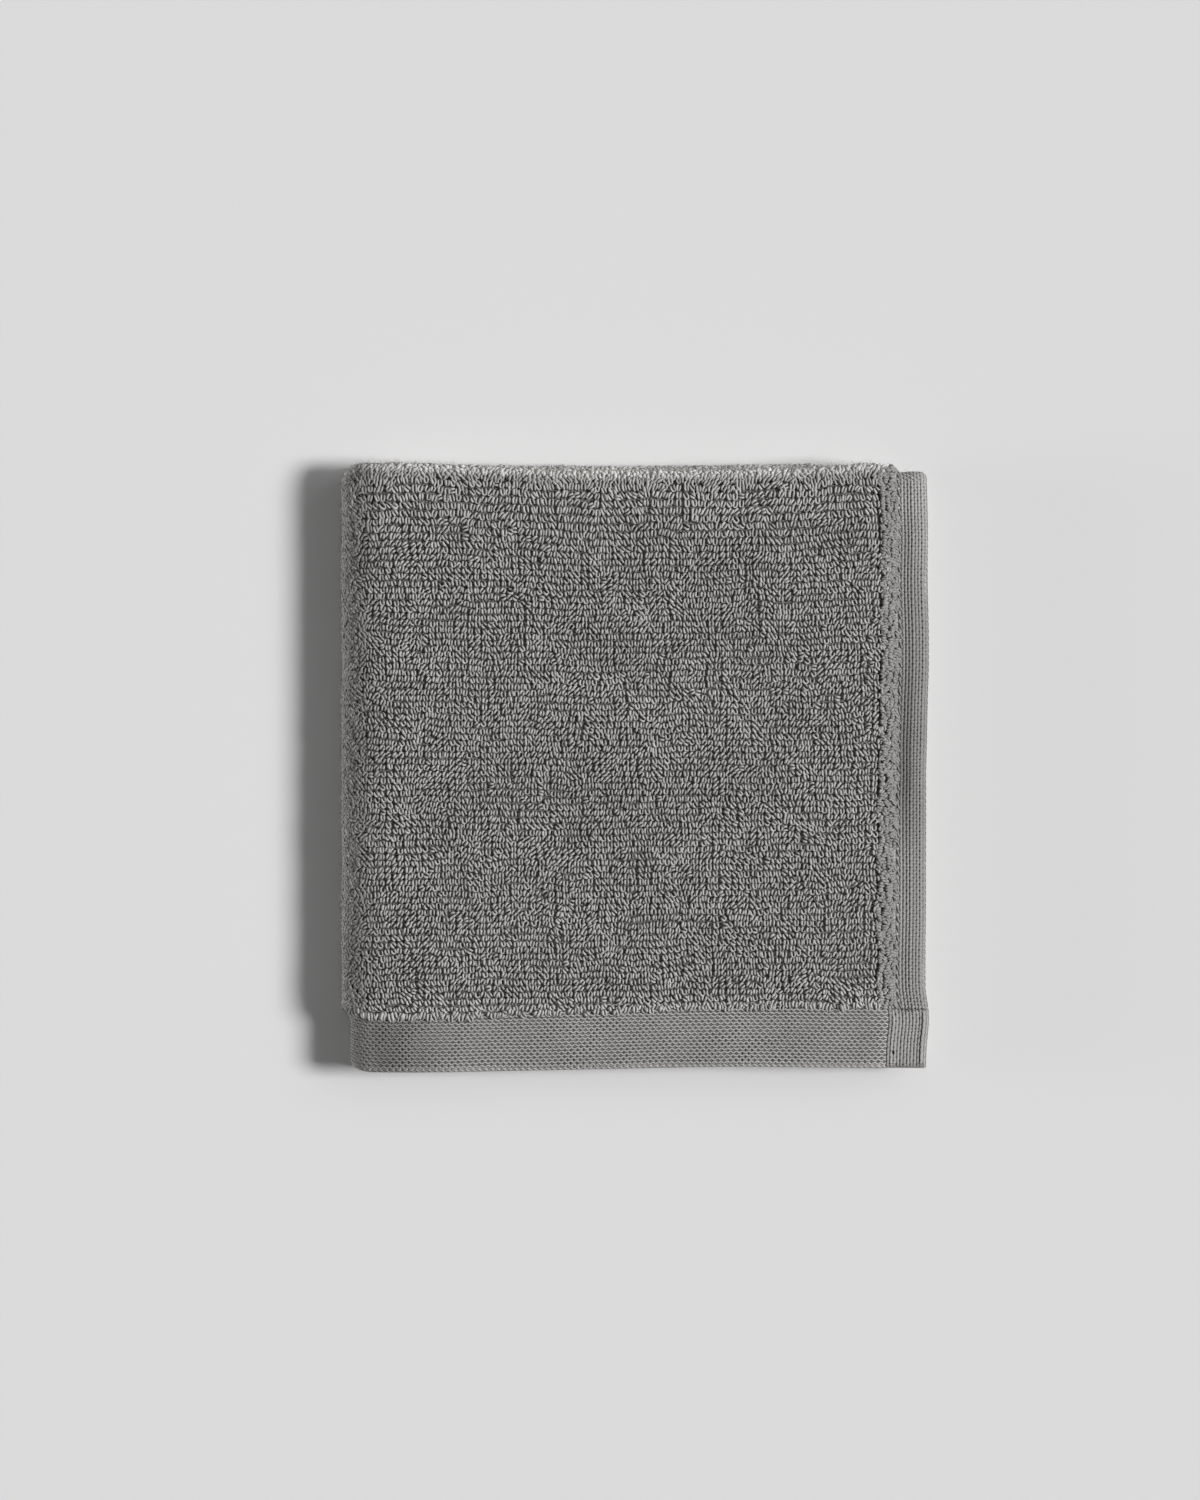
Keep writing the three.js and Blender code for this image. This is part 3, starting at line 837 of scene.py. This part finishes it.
def laid_threads(across, along, lift, half_width, half_height, tone):
    """Threads that lie on the ground. across, along, lift and tone are (thread, ring)."""
    outward = frames(across, along, 0.3)[2]
    sunk = PILE_HEIGHT * pile_share(*on_cloth(across, along)[::2])
    line = skin(across, along, sunk) + outward * lift[..., None]
    widths = np.broadcast_to(half_width, across.shape)
    heights = np.broadcast_to(half_height, across.shape)
    return *strand_mesh(line, outward, widths, heights), strand_tone(np.broadcast_to(tone, across.shape))


def weft():
    """All rows of the border, from the left fold to the corner piece."""
    rows = np.arange(border_edge - 0.5, border_edge - PILE_STARTS["end"] - 3.0, -WEFT_PITCH)
    steps = np.arange(-LEFT_ARC * 1.3, side_edge - CORNER_PIECE["side"] + 0.1, WEFT_STEP)
    across, along = np.meshgrid(steps, rows)
    row_number = np.arange(len(rows))[:, None]
    wave = 2 * math.pi * across / WEFT_WAVE + WEFT_STAGGER * row_number + 1.2 * drift(across, along, 6, 11)
    tone = 1 + 0.06 * rng.normal(0, 1, across.shape) + 0.06 * drift(across, along, 9, 13)
    # Painted shade toward the left fold.
    tone = tone * through(BORDER_PAINTED_SHADE, "across", "tone", across - LEFT_ARC)
    along = along + WEFT_SWING * np.sin(wave) + 0.12 * drift(across, along, 12, 12)
    return laid_threads(across, along, 0.04 + 0.03 * np.cos(2 * wave), **WEFT_THREAD, tone=tone)


border_edge = FAR_ARC + END_SPAN
side_edge = LEFT_ARC + SIDE_SPAN
border = new_piece("border_weave", *weft(), cotton("border_cotton", BORDER_SHADE))

# The side hem: plain woven ground with no pile, turned under twice and stitched down. Its warp
# threads show as columns that wave over and under the weft, painted lighter where they float over
# it and darker where they dip under, a painted shade.
WARP_PITCH = 0.916
WARP_WAVE = 1.8
WARP_STEP = 0.3
WARP_COLUMNS = 12
WARP_FIRST = 0.6
WARP_SWING = 0.1
# Where a warp thread floats it rises and is painted lighter; where it dips under the weft it is painted
# darker, a painted shade.
WARP_FLOAT = {"tone": 0.16, "rise": 0.07}
WARP_THREAD = {"half_width": 0.62, "half_height": 0.09}
HEM_SHADE = (0.315, 0.308, 0.297)
# Painted shade and light along the side hem, strongest on its inner part: darker beside the fullest part of
# the pile, lighter toward the far fold.
HEM_PAINTED_SHADE = {
    "y": [-58, -25, -14, -3, 8, 18, 30, 50, 62, 73],
    "inner": [1.16, 1.18, 0.95, 0.74, 0.75, 0.83, 0.98, 1.04, 1.1, 1.3],
    "outer": [0.93, 0.95, 0.84, 0.82, 0.82, 0.88, 0.86, 0.92, 1.06, 1.19],
}
SEAM_FROM_END = 16.2


def warp():
    """All columns of the hem, from the far fold to the corner piece."""
    columns = side_edge - WARP_FIRST - WARP_PITCH * np.arange(WARP_COLUMNS)
    steps = np.arange(-FAR_ARC, border_edge - SEAM_FROM_END + 0.3, WARP_STEP)
    along, across = np.meshgrid(steps, columns)
    column_number = np.arange(len(columns))[:, None]
    wave = 2 * math.pi * along / WARP_WAVE + math.pi * column_number + 0.7 * drift(across, along, 6, 21)
    y = NEAR_EDGE_Y + border_edge - along
    inner = ramp(side_edge - across, 3.2, 5.2)
    # Painted shade and light along the hem.
    tone = through(HEM_PAINTED_SHADE, "y", "inner", y) * inner + through(HEM_PAINTED_SHADE, "y", "outer", y) * (1 - inner)
    tone = tone * (1 + 0.05 * rng.normal(0, 1, across.shape) + 0.05 * drift(across, along, 7, 23))
    floats = np.cos(2 * wave)
    # Painted light and shade of the floats.
    tone = tone * (1 + WARP_FLOAT["tone"] * floats)
    across = across + WARP_SWING * np.sin(wave) + 0.1 * drift(across, along, 9, 22)
    return laid_threads(across, along, 0.04 + WARP_FLOAT["rise"] * floats, **WARP_THREAD, tone=tone)


side_hem = new_piece("side_hem_weave", *warp(), cotton("hem_cotton", HEM_SHADE))

# The corner piece: the side hem where it is turned over the end border. It is plain ground again,
# with its threads as soft ribs, and the layers below make it smoother and fuller.
RIB_PITCH = 0.93
RIB_SWING = 0.08
# Where a rib floats it rises and is painted lighter; where it dips under the weft it is painted darker, a
# painted shade.
RIB_FLOAT = {"tone": 0.1, "rise": 0.05}
RIB_THREAD = {"half_width": 0.62, "half_height": 0.07}
LAST_RIB_TONE = -0.15
CORNER_SHADE = (0.342, 0.335, 0.323)


def ribs():
    """As many ribs as the hem has columns, from the seam to the cloth's end."""
    columns = side_edge - WARP_FIRST - RIB_PITCH * np.arange(WARP_COLUMNS)
    steps = np.arange(border_edge - SEAM_FROM_END - 0.1, border_edge - 0.3, WARP_STEP)
    along, across = np.meshgrid(steps, columns)
    column_number = np.arange(len(columns))[:, None]
    wave = 2 * math.pi * along / WARP_WAVE + math.pi * column_number + 0.6 * drift(across, along, 6, 31)
    floats = np.cos(2 * wave)
    across = across + RIB_SWING * np.sin(wave)
    tone = 1 + 0.05 * rng.normal(0, 1, across.shape) + RIB_FLOAT["tone"] * floats
    tone = tone + LAST_RIB_TONE * (column_number == WARP_COLUMNS - 1)
    return laid_threads(across, along, 0.06 + RIB_FLOAT["rise"] * floats, **RIB_THREAD, tone=tone)


corner = new_piece("corner_weave", *ribs(), cotton("corner_cotton", CORNER_SHADE))

# The stitches: one row of slanting stitches holds the side hem, and a short seam closes the corner
# piece where the pile stops. The thread is cotton too, drawn down into the cloth.
STITCH_PITCH = 2.6
STITCH_FROM_SIDE = 7.7
SEAM_DASH_PITCH = 1.4
HEM_STITCH = {"slant": 24, "length": 2.3, "half_width": 0.28, "tone": 0.95}
# The seam's dashes are painted darker, the shade of the seam drawn down into the cloth.
SEAM_DASH = {"slant": 84, "length": 0.9, "half_width": 0.18, "tone": 0.6, "light_tone": 1.4, "light": 2}
# The needle hole is a near-black short thread, a painted shade standing in for the hole.
NEEDLE_HOLE = {"side": 9.4, "end": 4.4, "slant": 20, "length": 1.1, "half_width": 0.3, "tone": 0.08}
STITCH_LIFT = 0.34


def short_threads(across, along, slant, length, half_width, tone, lift):
    """Short threads with both ends drawn down. slant is the angle from the cloth's length."""
    t = np.linspace(-1, 1, 5)[None]
    reach = t * (length / 2)[:, None]
    here_across = across[:, None] + reach * np.sin(slant)[:, None]
    here_along = along[:, None] + reach * np.cos(slant)[:, None]
    height = lift - 0.35 * t**4 + 0 * reach
    return laid_threads(here_across, here_along, height, half_width[:, None], 0.2, tone[:, None] + 0 * reach)


def stitches():
    """The hem's stitches, the seam's dashes with one light stitch among them, and a needle hole
    drawn as a near-black short thread, the painted shade of the hole.
    """
    hem = np.arange(-FAR_ARC * 0.6, border_edge - SEAM_FROM_END, STITCH_PITCH)
    seam = side_edge - np.arange(1.4, 11.0, SEAM_DASH_PITCH)
    hole_across, hole_along = side_edge - NEEDLE_HOLE["side"], border_edge - NEEDLE_HOLE["end"]
    seam_along = np.full(len(seam), border_edge - SEAM_FROM_END + 0.1)
    across = np.concatenate([np.full(len(hem), side_edge - STITCH_FROM_SIDE), seam, [hole_across]])
    along = np.concatenate([hem, seam_along, [hole_along]])
    kinds = ((HEM_STITCH, len(hem)), (SEAM_DASH, len(seam)), (NEEDLE_HOLE, 1))
    slant, length, half_width, tone = (
        np.concatenate([np.full(count, float(kind[key])) for kind, count in kinds])
        for key in ("slant", "length", "half_width", "tone")
    )
    tone[: len(hem)] += rng.normal(0, 0.06, len(hem))
    tone[len(hem) + SEAM_DASH["light"]] = SEAM_DASH["light_tone"]
    return short_threads(across, along, np.radians(slant), length, half_width, tone, STITCH_LIFT)


stitching = new_piece("stitches", *stitches(), cotton("stitch_cotton", HEM_SHADE))

# Lint: single fibres of the cotton yarn that stand out from the folds, the hems and the pile. They
# are what the loops shed in washing.
LINT_RADIUS = 0.035
LINT_COUNT = 1500
LINT_TONE = 1.2


def lint():
    """Curled fibres, most of them near the outline."""
    span = border_edge - 2
    on_left = np.stack([rng.normal(0, 3.5, LINT_COUNT), rng.uniform(0, span, LINT_COUNT)])
    on_far = np.stack([rng.uniform(0, side_edge - 1, LINT_COUNT // 2), rng.normal(0, 2.5, LINT_COUNT // 2)])
    across, along = np.concatenate([on_left, on_far], axis=1)
    count = len(across)
    to_side, to_end, outward = frames(across, along)
    heading = rng.uniform(0, 2 * math.pi, (count, 1))
    level = np.cos(heading) * to_side + np.sin(heading) * to_end
    cross = np.cross(outward, level)
    t = np.linspace(0, 1, 5)[None, :, None]
    length = rng.uniform(0.9, 2.2, (count, 1, 1))
    curl = rng.normal(0, 0.5, (count, 1, 1))
    line = skin(across, along)[:, None] - 0.2 * outward[:, None]
    line = line + length * (t * 0.75 * outward[:, None] + t**2 * 0.6 * level[:, None])
    line = line + length * curl * np.sin(math.pi * t) * cross[:, None]
    radius = np.full(line.shape[:2], LINT_RADIUS)
    tone = strand_tone(np.full(line.shape[:2], LINT_TONE))
    return *strand_mesh(line, cross[:, None] + 0 * line, radius, radius), tone


lint_fibres = new_piece("lint", *lint(), cotton("lint_cotton", LOOP_SHADE))
